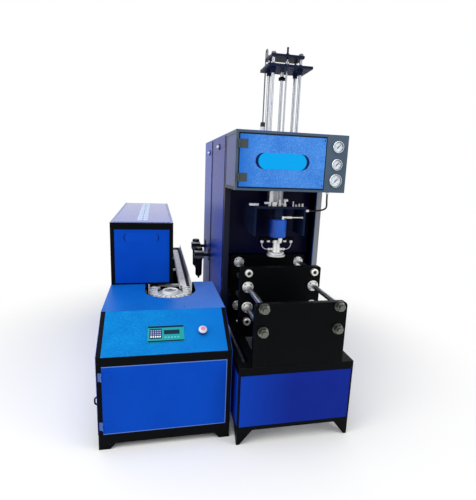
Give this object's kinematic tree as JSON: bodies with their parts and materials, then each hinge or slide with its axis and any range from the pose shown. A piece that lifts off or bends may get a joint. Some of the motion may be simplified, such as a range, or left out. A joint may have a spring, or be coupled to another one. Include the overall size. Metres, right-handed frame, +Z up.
{
  "type": "stretch blow moulding machine",
  "caption": "Blow moulding machine: preform oven with a fork chain and tunnel beside a station that clamps a mould under a blow head and stretches the bottle.",
  "frame": {"origin": "on the floor under the middle of the machine's outline", "axes": "+X to the operator's right, +Y away from the operator towards the back of the machine, +Z up"},
  "size_m": [1.513, 2.474, 2.3535],
  "materials": {
    "black_paint": "satin black paint",
    "blue_paint": "textured blue powder coat",
    "light_blue_paint": "textured light blue powder coat",
    "deep_blue_paint": "blue paint",
    "slate_paint": "slate grey paint",
    "polished_steel": "polished",
    "plain_steel": "turned",
    "zinc_steel": "zinc plated",
    "aluminium": "anodised",
    "white_enamel": "white dial in a steel case",
    "clear_glass": "clear",
    "black_plastic": "matte",
    "white_plastic": "gloss",
    "teal_plastic": "membrane panel",
    "hose_rubber": "matte",
    "hose_braid": "woven wire braid",
    "hose_grey": "air line",
    "quartz": "quartz tube",
    "bright_sheet": "polished sheet"
  },
  "bodies": {
    "machine": {"air_filters": "black_plastic", "base_frame": "black_paint", "base_panels": "deep_blue_paint", "bracket_fittings": "white_plastic", "button_collar": "black_plastic", "cabinet_frame": "blue_paint", "cabinet_panels": "blue_paint", "chain_rails": "bright_sheet", "clamp_cylinder": "aluminium", "console_panel": "light_blue_paint", "corner_feet": "black_paint", "crown_plate": "black_paint", "door_hinges": "black_paint", "drive_motor": "black_paint", "fork_plates": "bright_sheet", "front_plate": "black_paint", "gauge_cases": "white_enamel", "gauge_lenses": "clear_glass", "guide_rods": "polished_steel", "head_bracket": "black_paint", "head_frame": "slate_paint", "head_hose": "hose_rubber", "hex_nuts": "zinc_steel", "lamp_tray": "bright_sheet", "lifting_loop": "black_paint", "operator_panel": "teal_plastic", "oven_frame": "black_paint", "oven_lamps": "quartz", "oven_panels": "blue_paint", "preform_chain": "plain_steel", "rear_platen": "black_paint", "rod_bushings": "plain_steel", "seal_cylinder": "blue_paint", "stretch_cylinder": "aluminium", "tie_bars": "polished_steel", "top_plate": "light_blue_paint", "tower_air_line": "hose_grey", "tunnel_lid": "blue_paint", "tunnel_panels": "blue_paint", "wheel_bearings": "black_paint"},
    "clamp": {"front_platen": "black_paint", "platen_bushings": "plain_steel", "pull_rods": "polished_steel", "crosshead": "black_paint", "clamp_piston_rod": "polished_steel"},
    "nozzle": {"nozzle_spindle": "plain_steel", "nozzle_carrier": "black_paint", "nozzle_fittings": "plain_steel", "nozzle_hoses": "hose_braid"},
    "stretch_carriage": {"carriage_plate": "black_paint", "stretch_rod": "plain_steel", "stretch_piston_rod": "polished_steel"},
    "head_door_leaf": {"head_door": "blue_paint"},
    "oven_door_leaf": {"oven_door": "blue_paint"},
    "stop_push": {"stop_button": "white_plastic"},
    "pointer_top": {"gauge_pointer_top": "black_plastic"},
    "pointer_middle": {"gauge_pointer_middle": "black_plastic"},
    "pointer_bottom": {"gauge_pointer_bottom": "black_plastic"},
    "wheel_front": {"front_wheel": "bright_sheet"},
    "wheel_rear": {"rear_wheel": "bright_sheet"}
  },
  "joints": [
    {"name": "clamp_slide", "type": "slide", "parent": "machine", "child": "clamp", "axis": [0, -1, 0], "range_m": [0, 0.24]},
    {"name": "nozzle_slide", "type": "slide", "parent": "machine", "child": "nozzle", "axis": [0, 0, -1], "range_m": [0, 0.05]},
    {"name": "stretch_slide", "type": "slide", "parent": "machine", "child": "stretch_carriage", "axis": [0, 0, -1], "range_m": [0, 0.32]},
    {"name": "head_door_hinge", "type": "hinge", "parent": "machine", "child": "head_door_leaf", "pos_m": [0.075, -0.8795, 1.65], "axis": [0, 0, -1], "range_deg": [0, 110]},
    {"name": "oven_door_hinge", "type": "hinge", "parent": "machine", "child": "oven_door_leaf", "pos_m": [-0.695, -1.119, 0.3], "axis": [0, 0, -1], "range_deg": [0, 110]},
    {"name": "stop_button_push", "type": "slide", "parent": "machine", "child": "stop_push", "axis": [0, 0.5075, -0.8617], "range_m": [0, 0.005], "stiffness_N_per_m": 600},
    {"name": "pointer_top_turn", "type": "hinge", "parent": "machine", "child": "pointer_top", "pos_m": [0.6875, -0.8805, 1.739], "axis": [0, 1, 0], "range_deg": [-180, 90], "stiffness_Nm_per_rad": 0.002},
    {"name": "pointer_middle_turn", "type": "hinge", "parent": "machine", "child": "pointer_middle", "pos_m": [0.6875, -0.8805, 1.634], "axis": [0, 1, 0], "range_deg": [-180, 90], "stiffness_Nm_per_rad": 0.002},
    {"name": "pointer_bottom_turn", "type": "hinge", "parent": "machine", "child": "pointer_bottom", "pos_m": [0.6875, -0.8805, 1.537], "axis": [0, 1, 0], "range_deg": [-180, 90], "stiffness_Nm_per_rad": 0.002},
    {"name": "front_wheel_turn", "type": "hinge", "parent": "machine", "child": "wheel_front", "pos_m": [-0.3005, -0.455, 0.69], "axis": [0, 0, 1], "continuous": true},
    {"name": "rear_wheel_turn", "type": "hinge", "parent": "machine", "child": "wheel_rear", "pos_m": [-0.3005, 0.96042, 0.69], "axis": [0, 0, 1], "continuous": true}
  ],
  "couplings": [
    {"joint": "rear_wheel_turn", "follows": "front_wheel_turn", "ratio": 1}
  ]
}
